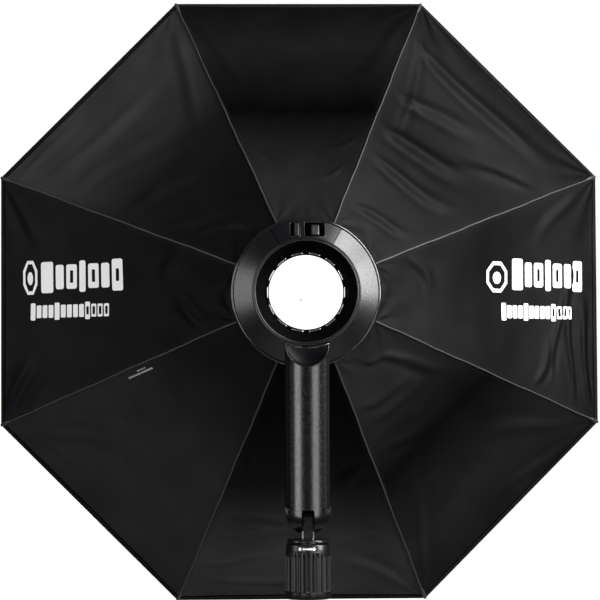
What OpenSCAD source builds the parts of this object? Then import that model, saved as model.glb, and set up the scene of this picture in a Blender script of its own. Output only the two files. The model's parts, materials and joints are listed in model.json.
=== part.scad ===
// Collapsible octagonal studio softbox with a round hub, a hanging handle and a stand adapter.
// Millimetres. Origin: centre of the flash socket's mouth. +Y is the way the light leaves,
// -Y faces the flash head, +Z is up. Eight ribs hinge at the hub and fold forward like an umbrella.

/* [Overall] */
// Size of the open softbox from corner to opposite corner
corner_d = 800; // [700:10:900]
// Distance from the socket's mouth to the plane of the front rim
rim_y = 240; // [210:5:270]
// Thickness of the cloth panels
cloth_t = 1.0; // [0.8:0.1:1.5]

/* [Hub] */
// Outer radius of the round bead at the hub's edge
bead_r = 86.3; // [85:0.1:88]
// Inner radius of the conical ring face
face_inner_r = 59.5; // [58.5:0.1:60.5]
// Radius of the flash socket's wall
socket_r = 47.2; // [46.5:0.1:48]
// Radius of the light's hole
light_hole_r = 42.5; // [40:0.5:43]
// Half the angle of the latch cover at the top of the hub
latch_half_angle = 29.5; // [27:0.5:32]
// Number of metal segments in the socket's floor
segment_count = 14; // [12:1:16]

/* [Ribs] */
// Radius at which each rib's hinge pin sits
pivot_r = 70; // [69:0.5:71]
// Distance of the hinge pins in front of the socket's mouth
pivot_y = 22; // [21:0.5:23]
// Diameter of a rib
rib_d = 5; // [4:0.5:6]
// Length of a rib from its pin to its tip
rib_len = 372; // [368:1:374]
// Distance from a rib's middle out to the cloth
cloth_gap = 8; // [7:0.5:9]

/* [Handle] */
// Width of the handle
handle_w = 50; // [46:1:54]
// Depth of the handle, front to back
handle_depth = 32; // [30:1:36]
// Height of the tilt axle below the hub's centre
tilt_drop = 256; // [250:1:262]
// Width of the slot for the tilt stem
slot_w = 14.2; // [13:0.2:16]

/* [Stand adapter] */
// Radius of the stand spigot's bore
spigot_r = 8.05; // [8:0.01:8.1]
// Outer radius of the knurled collar's base band
collar_r = 26; // [25.5:0.5:28]
// Number of flutes round the collar
flute_count = 30; // [24:1:36]

/* [Hidden] */
$fn = 96;
RIBS = 8;

step_a = 360 / RIBS;
first_a = step_a / 2;
corner_r = corner_d / 2;
gap = 0.3;

// Slope of the ribs and of the cloth's corner lines above the hub's plane.
pivot_to_rim = [corner_r - pivot_r, rim_y - pivot_y];
rib_slope = atan2(pivot_to_rim[1], pivot_to_rim[0]) + asin(cloth_gap / norm(pivot_to_rim));
cloth_in_r = 86;
cloth_in_y = rim_y - (corner_r - cloth_in_r) * tan(rib_slope);

// A gore in its own plane: length down the slope and half widths at both ends.
gore_run = (corner_r - cloth_in_r) * cos(first_a);
gore_rise = rim_y - cloth_in_y;
gore_slope = atan2(gore_rise, gore_run);
gore_len = norm([gore_run, gore_rise]);
gore_in_half = cloth_in_r * sin(first_a);
gore_out_half = corner_r * sin(first_a);

// Front diffuser
diffuser_y = rim_y - 1;
diffuser_r = corner_r - 8;

// Hub layers
face_outer_r = 82.6;
face_back_y = 8;
face_front_y = -8;
face_t = 2.3;
plate_y = 10.9;
plate_t = 2;
socket_depth = 10;
carrier_y = 16;
carrier_end_y = 34;
carrier_in_r = 48;
carrier_out_r = 64;
ear_in_r = 60;
front_cover_t = 3;
hub_screw_r = 56;
ear_t = 3;
eye_w = 8;
eye_r = 5;
pin_r = 1.5;
fit = 0.05;
segment_in_r = 43;
segment_out_r = 46.4;
segment_angle = 17.7;
segment_t = 2;

face_grade = (face_back_y - face_front_y) / (face_outer_r - face_inner_r);

// Windows in the latch cover: [x from, x to], both from window_z0 to window_z1
left_window = [-18.4, -7.1];
right_window = [-2.0, 21.7];
window_z0 = 62.5;
window_z1 = 79.5;
// The push button and the latch slider, from x to x
button_span = [-13.4, -8.0];
slider_span = [5.6, 15.2];
button_x = (button_span[0] + button_span[1]) / 2;
button_z = 69;
button_back_y = 4.5;
button_stem_r = 2;
button_proud = 1.6;
slider_foot_w = 12;
slider_foot_h = 11;
slider_foot_z = 63;

// Handle
handle_mid_y = -8;
handle_rear_y = handle_mid_y - handle_depth / 2;
handle_top_z = -61.5;
handle_shell_t = 2.6;
handle_end_z = -tilt_drop - 17;
handle_corner = 13;
scoop_r = 32;
scoop_y = handle_rear_y - 15.7;
scoop_z = handle_top_z - 0.5;
cut = 80;
cheek_z = -tilt_drop + 24;
tower_x = 14;
tower_z = [-110, -215];
tower_r = 4;
tower_end_y = 5;
screw_r = 1.5;
screw_head_r = 3;
clear = 0.1;
spine_w = 12;
spine_t = 8;
spine_y = -6;
spine_z = [-232, -64];
spine_foot_end_y = 10.9;
axle_r = 3;
knuckle_r = 20.5;
axle_len = 45;
slot_top_z = -tilt_drop + 10;
slot_front_y = 1.5;
washer_r = 8.5;
washer_t = 1;
cap_top_z = -278;
cap_t = 5;
cap_r = 23.8;
collar_top_z = -284;
collar_end_z = -345.5;
bush_r = 12;
bush_end_z = collar_end_z - 0.5;
bush_depth = 45.5;

// Puts a shape drawn along +X at angle a about the light's axis, anticlockwise from behind.
module at_angle(a) {
    rotate([0, -a, 0]) children();
}

// Turns an outline of [radius, y] points about the light's axis.
module turned(points) {
    rotate([-90, 0, 0]) rotate_extrude() polygon(points);
}

// A cylinder along +Y from y0 to y1.
module disc(r, y0, y1) {
    translate([0, y0, 0]) rotate([-90, 0, 0]) cylinder(r = r, h = y1 - y0);
}

// A wedge from the light's axis, half_a degrees on each side of the upward direction.
module top_wedge(half_a) {
    reach = 120;
    rotate([90, 0, 0]) linear_extrude(height = 80, center = true)
        polygon([[0, 0], [-reach * tan(half_a), reach], [reach * tan(half_a), reach]]);
}

// The conical ring before it is divided.
module ring_face() {
    turned([[face_inner_r, face_front_y], [face_outer_r, face_back_y],
            [face_outer_r, face_back_y + face_t], [face_inner_r, face_front_y + face_t]]);
}

// The handle's outline, seen along its length, grown outward by d.
module handle_section(d) {
    r = handle_corner + d;
    for (x = [-1, 1], y = [-1, 1])
        translate([x * (handle_w / 2 - handle_corner), handle_mid_y
                   + y * (handle_depth / 2 - handle_corner)])
            circle(r = r);
    translate([0, handle_mid_y])
        square([handle_w - 2 * handle_corner, handle_depth + 2 * d], center = true);
    translate([0, handle_mid_y])
        square([handle_w + 2 * d, handle_depth - 2 * handle_corner], center = true);
}

// The handle's solid outer form: a rounded bar with a round lower end and a thumb scoop on top.
module handle_form(d) {
    end_r = handle_w / 2 + d;
    difference() {
        intersection() {
            translate([0, 0, handle_end_z - d])
                linear_extrude(height = handle_top_z - handle_end_z + 2 * d) handle_section(d);
            // Round lower end, seen from behind
            union() {
                translate([0, 0, handle_end_z + handle_w / 2]) disc(end_r, -cut, cut);
                translate([-end_r, -cut, handle_end_z + handle_w / 2]) cube([2 * end_r, 2 * cut, tilt_drop]);
            }
            // Round lower end, seen from the side, so that the tilting cap clears it
            union() {
                axle_bore(knuckle_r + d);
                translate([-end_r, -cut, -tilt_drop]) cube([2 * end_r, 2 * cut, tilt_drop]);
            }
        }
        translate([0, scoop_y, scoop_z]) rotate([0, 90, 0])
            cylinder(r = scoop_r - d, h = cut, center = true);
    }
}

module handle_slot() {
    translate([-slot_w / 2, slot_front_y - cut, slot_top_z - cut]) cube([slot_w, cut, cut]);
}

// A cylinder of length h round the tilt axle's line.
module axle_bore(r, h = cut) {
    translate([0, handle_mid_y, -tilt_drop]) rotate([0, 90, 0]) cylinder(r = r, h = h, center = true);
}

module washer_pockets() {
    for (s = [-1, 1])
        translate([s * (slot_w + washer_t - clear) / 2, 0, 0])
            axle_bore(washer_r + 2 * clear, washer_t + 2 * clear);
}

// Four screws hold the front cover on the carrier.
module hub_screw_places() {
    for (a = [0, 90, 180, 270]) at_angle(a) translate([hub_screw_r, 0, 0]) children();
}

// Screw towers hold the two shells together.
module handle_tower_places() {
    for (x = [-tower_x, tower_x], z = tower_z) translate([x, 0, z]) children();
}

// One hollow shell of the handle, with solid cheeks round the slot and screw towers.
module handle_shell() {
    difference() {
        union() {
            difference() {
                handle_form(0);
                handle_form(-handle_shell_t);
            }
            intersection() {
                handle_form(0);
                union() {
                    translate([-cut / 2, -cut / 2, cheek_z - cut]) cube(cut);
                    handle_tower_places() disc(tower_r, -cut, cut);
                }
            }
        }
        handle_slot();
        axle_bore(axle_r + fit);
        washer_pockets();
        handle_tower_places() disc(screw_r + clear, -12, cut);
        handle_tower_places() disc(screw_head_r + 2 * clear, tower_end_y, cut);
        // Room for the trim ring, the inner plate and the clamp ring at the neck
        disc(bead_r + gap, plate_y - gap, cut);
        // Room for the metal spine
        spine_form(gap);
    }
}

// The metal core with its foot at the hub, grown outward by d.
module spine_form(d) {
    w = spine_w + 2 * d;
    t = spine_t + 2 * d;
    translate([-w / 2, spine_y - d, spine_z[0] - d]) cube([w, t, spine_z[1] - spine_z[0] + 2 * d]);
    translate([-w / 2, spine_y - d, spine_z[1] - spine_t - d])
        cube([w, spine_foot_end_y - spine_y + d, t]);
}

// Rib k drawn in the X-Y plane of its own angle.
module rib(k) {
    at_angle(first_a + step_a * (k - 1)) translate([pivot_r, pivot_y, 0]) {
        difference() {
            union() {
                cylinder(r = eye_r, h = eye_w - 2 * gap, center = true);
                rotate([0, 0, rib_slope]) rotate([0, 90, 0]) {
                    cylinder(d = rib_d + 2.4, h = 26);
                    cylinder(d = rib_d, h = rib_len);
                    translate([0, 0, rib_len - 12]) cylinder(d = rib_d + 1.6, h = 12);
                    translate([0, 0, rib_len]) sphere(d = rib_d + 1.6, $fn = 48);
                }
            }
            cylinder(r = pin_r + fit, h = eye_w + 2, center = true);
        }
    }
}

// One half of the gore that lies anticlockwise of rib k; side -1 is the half next to rib k.
module half_gore(k, side) {
    inset = 0.4;
    at_angle(step_a * k) translate([cloth_in_r * cos(first_a), cloth_in_y, 0])
        rotate([0, 0, gore_slope]) rotate([90, 0, 0])
            linear_extrude(height = cloth_t, center = true)
                polygon([[0, side * inset], [gore_len, side * inset],
                         [gore_len, side * (gore_out_half - inset - 0.6)],
                         [0, side * (gore_in_half - inset - 0.6)]]);
}

// The eighth of the front diffuser that belongs to rib k.
module diffuser_kite(k) {
    mid_r = diffuser_r * cos(first_a);
    start = 2;
    at_angle(first_a + step_a * (k - 1)) translate([0, diffuser_y, 0]) rotate([90, 0, 0])
        linear_extrude(height = cloth_t, center = true)
            polygon([[start, 0],
                     [mid_r * cos(first_a) - 1, -mid_r * sin(first_a) + 0.8],
                     [diffuser_r, 0],
                     [mid_r * cos(first_a) - 1, mid_r * sin(first_a) - 0.8]]);
}

module rear_cover() {
    color("dimgray") difference() {
        ring_face();
        top_wedge(latch_half_angle);
        handle_form(gap);
    }
}

module latch_cover() {
    color("gray") difference() {
        intersection() {
            ring_face();
            top_wedge(latch_half_angle - 0.2);
        }
        for (w = [left_window, right_window])
            translate([w[0], -20, window_z0]) cube([w[1] - w[0], 40, window_z1 - window_z0]);
    }
}

module trim_ring() {
    bead = 3;
    color("black") translate([0, 13.9, 0]) rotate([-90, 0, 0])
        rotate_extrude() translate([bead_r - bead, 0]) circle(r = bead, $fn = 32);
}

module socket_collar() {
    color("black") difference() {
        turned([[58.9, face_front_y], [socket_r, 0], [socket_r, socket_depth],
                [light_hole_r, socket_depth], [light_hole_r, carrier_y], [62, carrier_y],
                [62, plate_y + plate_t + gap], [socket_r + 3.5, plate_y + plate_t + gap],
                [socket_r + 3.5, 3], [58.9, face_front_y + 3]]);
        turned([[segment_in_r, socket_depth - 1], [segment_out_r, socket_depth - 1],
                [segment_out_r, socket_depth + segment_t], [segment_in_r, socket_depth + segment_t]]);
    }
}

module magnet_segments() {
    color("silver") for (i = [0:segment_count - 1])
        at_angle(i * 360 / segment_count) translate([0, socket_depth, 0]) intersection() {
            turned([[segment_in_r + fit, 0.1], [segment_out_r - fit, 0.1],
                    [segment_out_r - fit, segment_t], [segment_in_r + fit, segment_t]]);
            rotate([-90, 0, 0]) linear_extrude(height = 10, center = true)
                polygon([[0, 0], [60, -60 * tan(segment_angle / 2)],
                         [60, 60 * tan(segment_angle / 2)]]);
        }
}

module base_plate() {
    color("gray") difference() {
        disc(80, plate_y, plate_y + plate_t);
        disc(51.5, 0, 30);
    }
}

module fabric_clamp_ring() {
    color("black") turned([[76.5, plate_y + plate_t + gap], [79.6, plate_y + plate_t + gap],
                           [79.6, 20], [76.5, 20]]);
}

module hub_carrier() {
    reach = pivot_r + eye_r;
    color("silver") difference() {
        union() {
            turned([[carrier_in_r, carrier_y], [carrier_out_r, carrier_y],
                    [carrier_out_r, carrier_end_y], [carrier_in_r, carrier_end_y]]);
            for (k = [1:RIBS]) at_angle(first_a + step_a * (k - 1)) for (s = [-1, 1])
                translate([ear_in_r, carrier_y, s * (eye_w + ear_t) / 2 - ear_t / 2])
                    cube([reach - ear_in_r, 2 * (pivot_y - carrier_y), ear_t]);
        }
        for (k = [1:RIBS]) at_angle(first_a + step_a * (k - 1))
            translate([pivot_r, pivot_y, 0]) {
                cylinder(r = pin_r + fit, h = cut, center = true, $fn = 32);
                // Room for the rib's eye against the ring
                cylinder(r = eye_r + 1.4, h = eye_w, center = true);
            }
        hub_screw_places() disc(screw_r + clear, plate_y, cut);
    }
}

module hinge_pins() {
    color("silver") for (k = [1:RIBS]) at_angle(first_a + step_a * (k - 1))
        translate([pivot_r, pivot_y, 0])
            cylinder(r = pin_r, h = eye_w + 2 * ear_t + 1, center = true, $fn = 32);
}

module front_cover() {
    chamfer = 1.5;
    color("white") difference() {
        turned([[carrier_in_r - 4, carrier_end_y], [carrier_out_r + 1, carrier_end_y],
                [carrier_out_r + 1 - chamfer, carrier_end_y + front_cover_t],
                [carrier_in_r - 4, carrier_end_y + front_cover_t]]);
        hub_screw_places() disc(screw_r + clear, plate_y, cut);
    }
}

module hub_screws() {
    head_y = carrier_end_y + front_cover_t;
    color("silver") hub_screw_places() {
        disc(screw_r, head_y - 17, head_y);
        difference() {
            disc(screw_head_r, head_y, head_y + 2);
            translate([0, head_y + 1, 0]) rotate([-90, 0, 0]) cylinder(r = 1.3, h = 3, $fn = 6);
        }
    }
}

// A block over the x and z ranges whose rear side follows the ring face, standing proud of it,
// and whose front side is flat at y_end.
module window_block(x, z, proud, y_end) {
    past = 5;
    intersection() {
        translate([x[0], y_end - cut, z[0]]) cube([x[1] - x[0], cut, z[1] - z[0]]);
        turned([[face_inner_r - past, face_front_y - proud - past * face_grade],
                [face_outer_r + past, face_back_y - proud + past * face_grade],
                [face_outer_r + past, plate_y], [face_inner_r - past, plate_y]]);
    }
}

// Push button in the left window; it travels along +Y.
module release_button() {
    color("dimgray") {
        window_block(button_span, [window_z0 + 1, window_z1 - 1], button_proud, button_back_y);
        translate([button_x, 0, button_z]) disc(button_stem_r, button_back_y, plate_y - 2.9);
    }
}

module button_spring() {
    turns = 3.5;
    per_turn = 14;
    sides = 6;
    wire = 0.35;
    coil_r = 2.9;
    start_y = button_back_y + 0.1;
    height = plate_y - start_y - 0.1;
    count = turns * per_turn;
    ring = [for (i = [0:count], j = [0:sides - 1])
        let (t = i * 360 / per_turn, r = coil_r + wire * cos(j * 360 / sides))
            [r * cos(t), start_y + wire + (height - 2 * wire) * i / count
             + wire * sin(j * 360 / sides), r * sin(t)]];
    color("silver") translate([button_x, 0, button_z])
        polyhedron(points = ring, faces = concat(
            [[for (j = [0:sides - 1]) j]],
            [for (i = [0:count - 1], j = [0:sides - 1])
                let (a = i * sides + j, b = i * sides + (j + 1) % sides)
                    [b, a, a + sides, b + sides]],
            [[for (j = [sides - 1:-1:0]) count * sides + j]]));
}

// Sliding latch in the right window; it travels along X on the inner plate.
module latch_slider() {
    foot_t = 2;
    foot_x = (slider_span[0] + slider_span[1] - slider_foot_w) / 2;
    foot_y = plate_y - gap - foot_t;
    color("silver") {
        window_block(slider_span, [window_z0 + 2, window_z1 - 3], button_proud, foot_y);
        translate([foot_x, foot_y, slider_foot_z]) cube([slider_foot_w, foot_t, slider_foot_h]);
    }
}

module handle_rear_shell() {
    color("dimgray") intersection() {
        handle_shell();
        translate([-cut, handle_mid_y - cut, -4 * cut]) cube([2 * cut, cut, 4 * cut]);
    }
}

module handle_front_shell() {
    color("dimgray") intersection() {
        handle_shell();
        translate([-cut, handle_mid_y, -4 * cut]) cube([2 * cut, cut, 4 * cut]);
    }
}

module handle_screws() {
    color("silver") handle_tower_places() {
        disc(screw_r, -11, tower_end_y);
        disc(screw_head_r, tower_end_y, tower_end_y + 2);
    }
}

module handle_spine() {
    color("silver") spine_form(0);
}

module tilt_axle() {
    color("silver") axle_bore(axle_r, axle_len);
}

module friction_washers() {
    color("goldenrod") for (s = [-1, 1])
        translate([s * (slot_w + washer_t) / 2, 0, 0]) difference() {
            axle_bore(washer_r, washer_t - clear);
            axle_bore(axle_r + clear);
        }
}

// Flat stem with a round eye on the tilt axle.
module tilt_stem() {
    stem_w = slot_w - 0.5;
    stem_depth = 15;
    color("dimgray") difference() {
        union() {
            axle_bore(stem_depth / 2 + 0.5, stem_w);
            translate([-stem_w / 2, handle_mid_y - stem_depth / 2, cap_top_z])
                cube([stem_w, stem_depth, -tilt_drop - cap_top_z]);
        }
        axle_bore(axle_r + fit);
    }
}

module cap_ring() {
    chamfer = 1.4;
    color("black") translate([0, handle_mid_y, cap_top_z - cap_t]) rotate_extrude()
        polygon([[0, 0], [cap_r - 0.3, 0], [cap_r, 1], [cap_r, cap_t - chamfer],
                 [cap_r - chamfer, cap_t], [0, cap_t]]);
}

module socket_bush() {
    top_z = cap_top_z - cap_t;
    color("silver") translate([0, handle_mid_y, bush_end_z]) difference() {
        cylinder(r = bush_r, h = top_z - bush_end_z);
        translate([0, 0, -1]) cylinder(r = spigot_r, h = bush_depth + 1);
    }
}

module lock_collar() {
    base_h = 8.5;
    chamfer = 2;
    flute_top = collar_top_z - 10;
    flute_end = collar_end_z + base_h;
    flute_w = 2.4;
    color("black") translate([0, handle_mid_y, 0]) difference() {
        union() {
            translate([0, 0, flute_top]) cylinder(r = collar_r - 1.5, h = collar_top_z - flute_top);
            translate([0, 0, flute_end]) cylinder(r = collar_r - 0.8, h = flute_top - flute_end);
            translate([0, 0, collar_end_z]) rotate_extrude()
                polygon([[0, 0], [collar_r - chamfer, 0], [collar_r, chamfer],
                         [collar_r, base_h], [0, base_h]]);
        }
        translate([0, 0, collar_end_z - 1]) cylinder(r = bush_r + fit, h = cut);
        for (i = [0:flute_count - 1]) rotate([0, 0, i * 360 / flute_count])
            translate([collar_r + 0.3, 0, flute_end]) rotate([0, 0, 45])
                translate([-flute_w / 2, -flute_w / 2, 0]) cube([flute_w, flute_w, flute_top - flute_end]);
    }
}

rear_cover();
latch_cover();
trim_ring();
socket_collar();
magnet_segments();
base_plate();
fabric_clamp_ring();
hub_carrier();
hinge_pins();
front_cover();
hub_screws();
release_button();
button_spring();
latch_slider();
handle_rear_shell();
handle_front_shell();
handle_screws();
handle_spine();
tilt_axle();
friction_washers();
tilt_stem();
cap_ring();
socket_bush();
lock_collar();
for (k = [1:RIBS]) {
    color("silver") rib(k);
    color([0.1, 0.1, 0.1]) half_gore(k, -1);
    color([0.1, 0.1, 0.1]) half_gore(k - 1, 1);
    color("white") diffuser_kite(k);
}
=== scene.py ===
# Collapsible octagonal studio softbox seen from behind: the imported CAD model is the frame, and the
# detailed pieces made here ride on its bodies. Lengths are in millimetres until a mesh is made.
import json
from math import asin, atan2, cos, degrees, hypot, pi, radians, sin, sqrt, tan

import bpy
import bmesh
import numpy as np
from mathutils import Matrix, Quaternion, Vector


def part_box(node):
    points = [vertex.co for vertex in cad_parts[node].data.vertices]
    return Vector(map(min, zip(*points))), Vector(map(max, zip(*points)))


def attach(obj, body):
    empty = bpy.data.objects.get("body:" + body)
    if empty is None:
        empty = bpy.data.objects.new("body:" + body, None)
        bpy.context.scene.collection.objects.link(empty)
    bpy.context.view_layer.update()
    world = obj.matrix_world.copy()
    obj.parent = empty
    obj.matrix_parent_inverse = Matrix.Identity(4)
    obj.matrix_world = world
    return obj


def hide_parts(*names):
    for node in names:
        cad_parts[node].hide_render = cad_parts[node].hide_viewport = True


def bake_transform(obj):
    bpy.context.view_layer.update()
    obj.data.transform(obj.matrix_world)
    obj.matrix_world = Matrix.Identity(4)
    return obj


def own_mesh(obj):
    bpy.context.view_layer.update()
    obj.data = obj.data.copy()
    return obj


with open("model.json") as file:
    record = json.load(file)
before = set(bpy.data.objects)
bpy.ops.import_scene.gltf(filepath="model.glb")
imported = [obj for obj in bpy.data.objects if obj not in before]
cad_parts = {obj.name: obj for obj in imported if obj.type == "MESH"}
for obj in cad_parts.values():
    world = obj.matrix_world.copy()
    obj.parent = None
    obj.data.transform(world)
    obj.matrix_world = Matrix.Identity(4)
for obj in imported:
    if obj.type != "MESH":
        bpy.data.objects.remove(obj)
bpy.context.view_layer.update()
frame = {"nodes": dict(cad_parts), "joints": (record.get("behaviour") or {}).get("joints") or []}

MM = 0.001
RIBS = 8
STEP_A = 360 / RIBS
nodes = frame["nodes"]
joints = {joint["name"]: joint for joint in frame["joints"]}


def node_box(name):
    """Lowest and highest corner of a CAD node, in millimetres."""
    low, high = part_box(name)
    return low / MM, high / MM


# ---------------------------------------------------------------- materials

# Texture values are spread over this part of 0..1
TEXTURE_RANGE = (0.3, 0.7)


def principled(mat):
    return mat.node_tree.nodes["Principled BSDF"]


def feed(mat, key, socket):
    """Links a socket to an input of the material's main shader."""
    mat.node_tree.links.new(socket, principled(mat).inputs[key])


def new_shader(name, color, rough, metallic=0.0, specular=0.5, coat=0.0, sheen=0.0):
    """A Principled material; details are linked to it afterwards."""
    mat = bpy.data.materials.new(name)
    mat.use_nodes = True
    values = {"Base Color": (*color, 1), "Roughness": rough, "Metallic": metallic,
              "Specular IOR Level": specular, "Coat Weight": coat, "Coat Roughness": 0.1,
              "Sheen Weight": sheen, "Sheen Roughness": 0.4}
    for key, value in values.items():
        principled(mat).inputs[key].default_value = value
    return mat


def add_node(tree, kind, inputs=None, **settings):
    """A shader node; each of its inputs takes a socket to link or a plain value."""
    node = tree.nodes.new("ShaderNode" + kind)
    for key, value in settings.items():
        setattr(node, key, value)
    for key, value in (inputs or {}).items():
        if isinstance(value, bpy.types.NodeSocket):
            tree.links.new(value, node.inputs[key])
        else:
            node.inputs[key].default_value = value
    return node


def place_source(tree, attribute=None):
    """Where textures take their coordinates: a piece's own attribute, or the object's space."""
    if attribute:
        return add_node(tree, "Attribute", attribute_name=attribute).outputs["Vector"]
    return add_node(tree, "TexCoord").outputs["Object"]


def scaled(tree, coords, scale):
    return add_node(tree, "Mapping", {"Vector": coords, "Scale": scale}).outputs["Vector"]


def noise_node(tree, coords, size_mm, detail=3.0, stretch=(1, 1, 1)):
    """Noise whose lumps are size_mm across, drawn out by stretch."""
    place = scaled(tree, coords, [1 / (size_mm * MM * s) for s in stretch])
    return add_node(tree, "TexNoise", {"Vector": place, "Scale": 1.0, "Detail": detail}).outputs["Fac"]


def span_node(tree, value, low, high):
    """Maps a texture value to low..high."""
    first, last = TEXTURE_RANGE
    return add_node(tree, "MapRange", {"Value": value, "From Min": first, "From Max": last,
                                       "To Min": low, "To Max": high}).outputs["Result"]


def vary_color(mat, value, first, second):
    """Base colour that goes from first to second as value goes from low to high."""
    ramp = add_node(mat.node_tree, "ValToRGB", {"Fac": value})
    for element, position, color in zip(ramp.color_ramp.elements, TEXTURE_RANGE, (first, second)):
        element.position = position
        element.color = (*color, 1)
    feed(mat, "Base Color", ramp.outputs["Color"])


def vary_roughness(mat, value, low, high):
    feed(mat, "Roughness", span_node(mat.node_tree, value, low, high))


def add_bump(mat, layers):
    """Stacks bump layers: (value socket, strength, height in mm)."""
    below = {}
    for value, strength, height in layers:
        inputs = {"Height": value, "Strength": strength, "Distance": height * MM}
        normal = add_node(mat.node_tree, "Bump", inputs | below).outputs["Normal"]
        below = {"Normal": normal}
    feed(mat, "Normal", normal)


def weave_node(tree, coords, pitch_mm):
    """Over-and-under weave: two crossed waves."""
    inputs = {"Vector": scaled(tree, coords, [1 / (pitch_mm * MM)] * 3), "Scale": 0.314, "Distortion": 0.6}
    waves = [add_node(tree, "TexWave", inputs, bands_direction=axis).outputs["Fac"] for axis in "XY"]
    return add_node(tree, "Math", dict(enumerate(waves)), operation="MULTIPLY").outputs["Value"]


def painted_tone_color(mat, value, spread):
    """Base colour from the piece's painted light and shade attribute, made uneven by a texture value."""
    tree = mat.node_tree
    painted_light_tone = add_node(tree, "Attribute", attribute_name="painted_light_tone").outputs["Color"]
    inputs = {0: painted_light_tone, "Scale": span_node(tree, value, 1 - spread, 1 + spread)}
    feed(mat, "Base Color", add_node(tree, "VectorMath", inputs, operation="SCALE").outputs["Vector"])


def cloth_material(name, dark, light, rough, pitch=0.45, specular=0.4, sheen=0.0):
    """Woven cloth between two colours; without a light one, each piece's colour is its own painted light and
    shade.
    """
    mat = new_shader(name, dark, rough, specular=specular, sheen=sheen)
    tree = mat.node_tree
    coords = place_source(tree, "cloth_place")
    if light:
        vary_color(mat, noise_node(tree, coords, 70, 4), dark, light)
    else:
        painted_tone_color(mat, noise_node(tree, coords, 60, 4), 0.16)
    vary_roughness(mat, noise_node(tree, coords, 25, 3, (1, 2.5, 1)), rough - 0.05, rough + 0.06)
    add_bump(mat, [(noise_node(tree, coords, 14, 4, (1, 1.8, 1)), 0.25, 0.5),
                   (weave_node(tree, coords, pitch), 0.18, 0.05)])
    return mat


def grained_plastic(name, color, rough, grain_mm, grain_strength, specular=0.5, coat=0.0):
    """Moulded plastic with a spark-eroded grain and slightly uneven colour."""
    mat = new_shader(name, color, rough, specular=specular, coat=coat)
    tree = mat.node_tree
    coords = place_source(tree)
    vary_color(mat, noise_node(tree, coords, 18, 5), color, [c * 1.25 for c in color])
    vary_roughness(mat, noise_node(tree, coords, grain_mm * 2.5, 2), rough - 0.05, rough + 0.07)
    add_bump(mat, [(noise_node(tree, coords, grain_mm, 2), grain_strength, grain_mm * 0.5)])
    return mat


def brushed_metal(name, color, rough, stretch, fine_mm=0.5, metallic=1.0):
    """Metal with fine lines drawn out by stretch."""
    mat = new_shader(name, color, rough, metallic=metallic)
    tree = mat.node_tree
    coords = place_source(tree)
    lines = noise_node(tree, coords, fine_mm, 3, stretch)
    vary_roughness(mat, lines, rough - 0.06, rough + 0.1)
    vary_color(mat, noise_node(tree, coords, 9, 3), color, [c * 1.2 for c in color])
    add_bump(mat, [(lines, 0.12, 0.05)])
    return mat


def make_translucent(mat, share):
    """Lets a share of the light through the cloth."""
    tree = mat.node_tree
    glow = add_node(tree, "BsdfTranslucent", {"Color": (0.95, 0.95, 0.95, 1)})
    mix = add_node(tree, "MixShader", {"Fac": share, 1: principled(mat).outputs["BSDF"],
                                       2: glow.outputs["BSDF"]})
    tree.links.new(mix.outputs["Shader"], tree.nodes["Material Output"].inputs["Surface"])


# The black nylon's colour is painted light and shade, taken from each piece's own attribute
black_cloth = cloth_material("black_nylon", (0.006, 0.006, 0.0064), None, 0.43, specular=0.028)
seam_cloth = cloth_material("seam_tape", (0.016, 0.016, 0.0165), (0.024, 0.024, 0.0245), 0.4, 0.8, 0.28, 0.05)
# Two copies of the rim's black tape: a darker one, painted shade at its edges, and a paler one, painted light
# on its fold
binding_shaded_cloth = cloth_material("edge_binding_painted_shade", (0.0012, 0.0012, 0.0013), (0.0024, 0.0024, 0.0026),
                               0.6, 0.9, 0.02)
tape_lit_cloth = cloth_material("rim_tape_painted_light", (0.005, 0.005, 0.0054), (0.008, 0.008, 0.0085), 0.6, 0.9, 0.03)
thread = cloth_material("black_thread", (0.006, 0.006, 0.0065), (0.010, 0.010, 0.011), 0.5, 0.3, 0.08, 0.1)
print_white = cloth_material("white_print", (0.80, 0.80, 0.80), (0.86, 0.86, 0.86), 0.55)
label_print = cloth_material("label_print", (0.30, 0.30, 0.30), (0.42, 0.42, 0.42), 0.6)
silver_cloth = cloth_material("silver_lining", (0.62, 0.62, 0.63), (0.74, 0.74, 0.75), 0.33, 1.2)
principled(silver_cloth).inputs["Metallic"].default_value = 0.85
white_cloth = cloth_material("white_diffuser", (0.88, 0.88, 0.88), (0.93, 0.93, 0.93), 0.75, 0.6)
make_translucent(white_cloth, 0.82)
cover_grey = grained_plastic("grained_cover", (0.0028, 0.0030, 0.0034), 0.31, 0.55, 0.13)
latch_grey = grained_plastic("grained_latch", (0.0028, 0.0030, 0.0034), 0.34, 0.55, 0.13, 0.22)
handle_grey = grained_plastic("grained_handle", (0.002, 0.0022, 0.0026), 0.19, 1.1, 0.07)
# A duller copy of the handle's plastic for its sides, painted shade, and a paler one for its shoulders,
# painted light
side_shaded_plastic = grained_plastic("matte_side_painted_shade", (0.002, 0.0022, 0.0026), 0.34, 1.1, 0.07, 0.03)
shoulder_lit_plastic = grained_plastic("satin_shoulder_painted_light", (0.004, 0.0042, 0.0046), 0.26, 1.1, 0.07, 0.2)
button_grey = grained_plastic("satin_button", (0.011, 0.0115, 0.0125), 0.3, 0.4, 0.15)
socket_black = grained_plastic("satin_socket", (0.0010, 0.0010, 0.0011), 0.55, 0.6, 0.12, 0.008)
scoop_black = grained_plastic("scoop_black", (0.0025, 0.0027, 0.0034), 0.42, 0.7, 0.1, 0.06)
gloss_black = grained_plastic("gloss_trim", (0.006, 0.006, 0.0066), 0.12, 1.6, 0.04, 0.5, 0.2)
cap_black = grained_plastic("satin_cap", (0.004, 0.004, 0.0044), 0.24, 1.6, 0.04, 0.3)
collar_black = grained_plastic("rubber_collar", (0.0025, 0.0025, 0.0028), 0.3, 0.5, 0.08, 0.3)
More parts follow.
